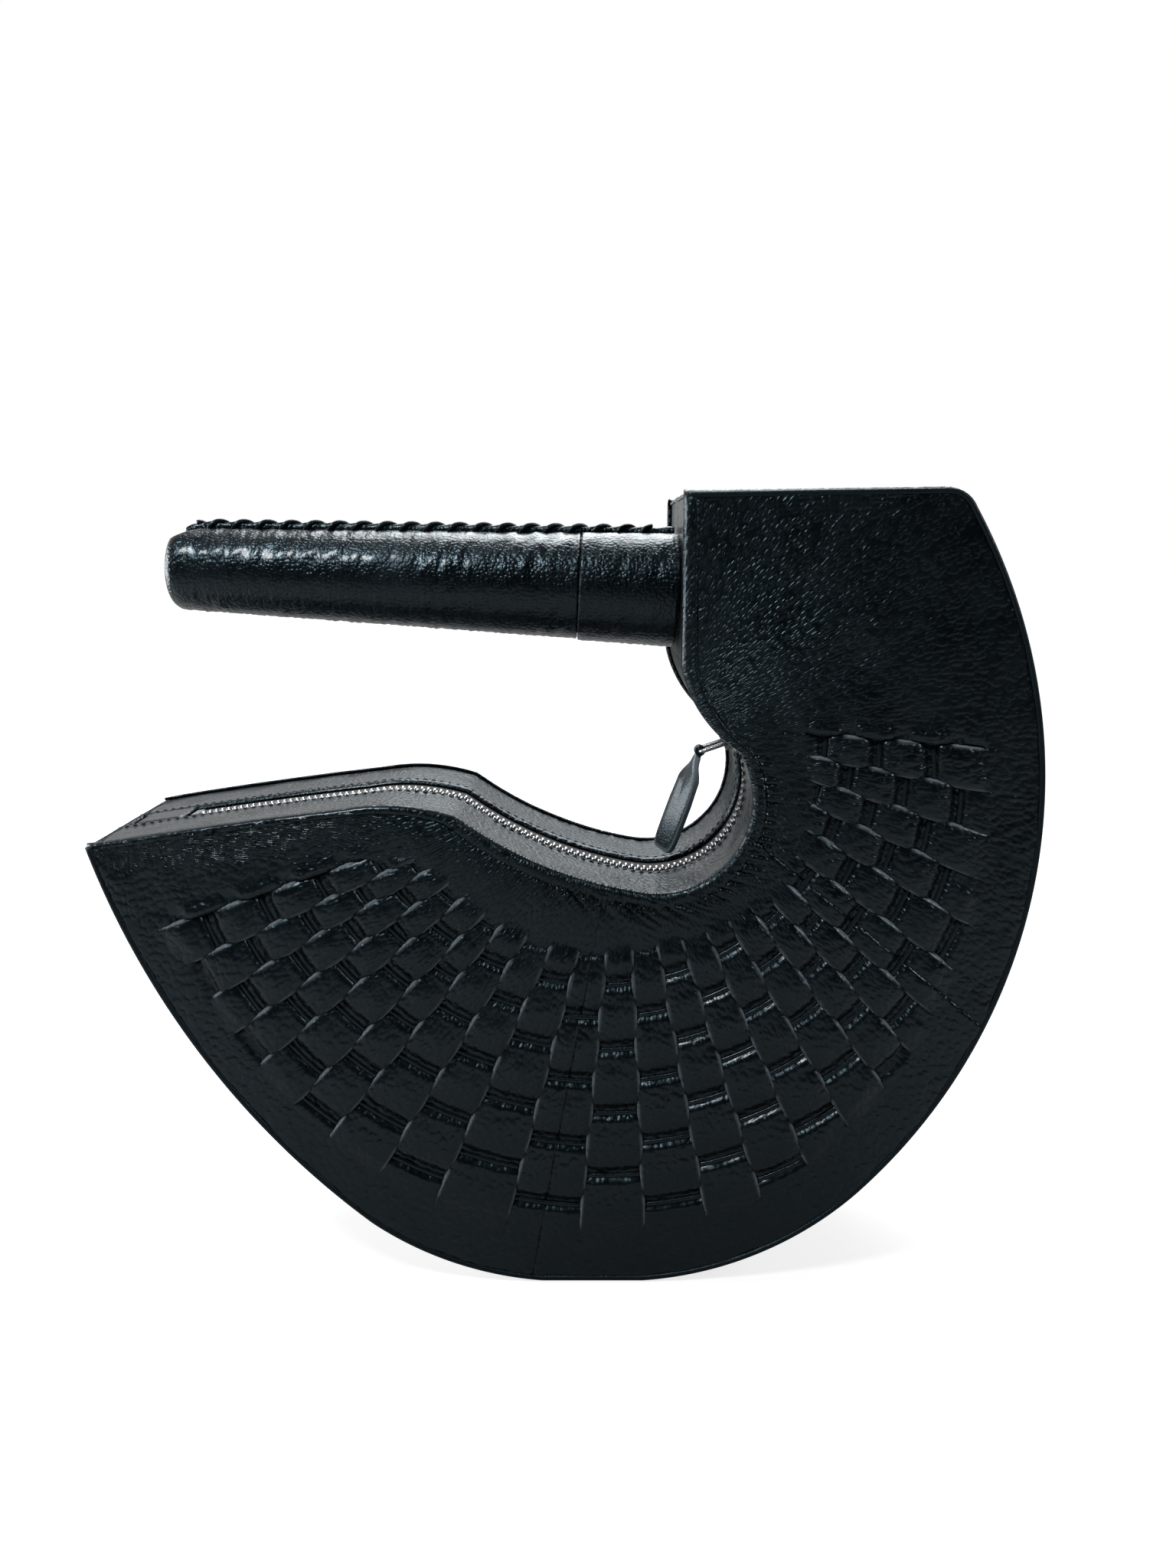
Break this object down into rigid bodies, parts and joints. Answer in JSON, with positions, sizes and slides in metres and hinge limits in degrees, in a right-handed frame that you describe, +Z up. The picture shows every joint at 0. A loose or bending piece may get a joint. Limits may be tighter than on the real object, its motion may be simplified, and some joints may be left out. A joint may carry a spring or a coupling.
{
  "type": "handbag",
  "caption": "Curved leather handbag with woven cord faces, zipped mouth and a tapered grip standing out from its head.",
  "frame": {"origin": "middle of the bounding box in X and Y, at the level of the resting flat under the body", "axes": "+X from the pointed tip of the body to its head, +Y through the depth from the front face to the back face, +Z up"},
  "size_m": [0.3516, 0.09, 0.3053],
  "materials": {
    "weave_cord": "satin",
    "face_leather": "semi-gloss",
    "fleece": "matte",
    "board": "matte",
    "lining": "matte",
    "welt_leather": "semi-gloss",
    "gusset_leather": "semi-gloss",
    "zip_tape": "matte",
    "zip_metal": "satin",
    "slider_metal": "polished",
    "tab_leather": "satin",
    "handle_wood": "matte",
    "steel": "satin",
    "handle_leather": "semi-gloss"
  },
  "bodies": {
    "bag": {"board_back": "board", "board_face": "board", "board_front": "board", "board_gusset": "board", "facing_back": "gusset_leather", "facing_front": "gusset_leather", "fleece_back": "fleece", "fleece_front": "fleece", "gusset_crown": "gusset_leather", "gusset_face": "gusset_leather", "gusset_outer": "gusset_leather", "handle_core": "handle_wood", "handle_cuff_leather": "handle_leather", "handle_end_cap": "handle_leather", "handle_grip_leather": "handle_leather", "handle_lace": "handle_leather", "handle_plate": "steel", "handle_ridge": "handle_leather", "handle_screws": "steel", "lining_back": "lining", "lining_face": "lining", "lining_front": "lining", "lining_gusset": "lining", "panel_back_head": "face_leather", "panel_back_left": "face_leather", "panel_back_middle": "face_leather", "panel_front_head": "face_leather", "panel_front_left": "face_leather", "panel_front_middle": "face_leather", "weave_back": "weave_cord", "weave_front": "weave_cord", "welt_back": "welt_leather", "welt_front": "welt_leather", "zip_bottom_stop": "zip_metal", "zip_end_tab": "gusset_leather", "zip_tape_back": "zip_tape", "zip_tape_front": "zip_tape", "zip_teeth_back": "zip_metal", "zip_teeth_front": "zip_metal"},
    "slider": {"slider_body": "slider_metal", "slider_bridge": "slider_metal"},
    "bail": {"pull_bail": "slider_metal"},
    "tab": {"pull_tab": "tab_leather"}
  },
  "joints": [
    {"name": "slider_travel", "type": "hinge", "parent": "bag", "child": "slider", "pos_m": [0.0345, 0, 0.194], "axis": [0, 1, 0], "range_deg": [0, 90]},
    {"name": "bail_swing", "type": "hinge", "parent": "slider", "child": "bail", "pos_m": [0.06502, 0, 0.20955], "axis": [0, 1, 0], "range_deg": [0, 30]},
    {"name": "tab_swing", "type": "hinge", "parent": "bail", "child": "tab", "pos_m": [0.05368, 0, 0.20561], "axis": [0, 1, 0], "range_deg": [0, 30]}
  ]
}
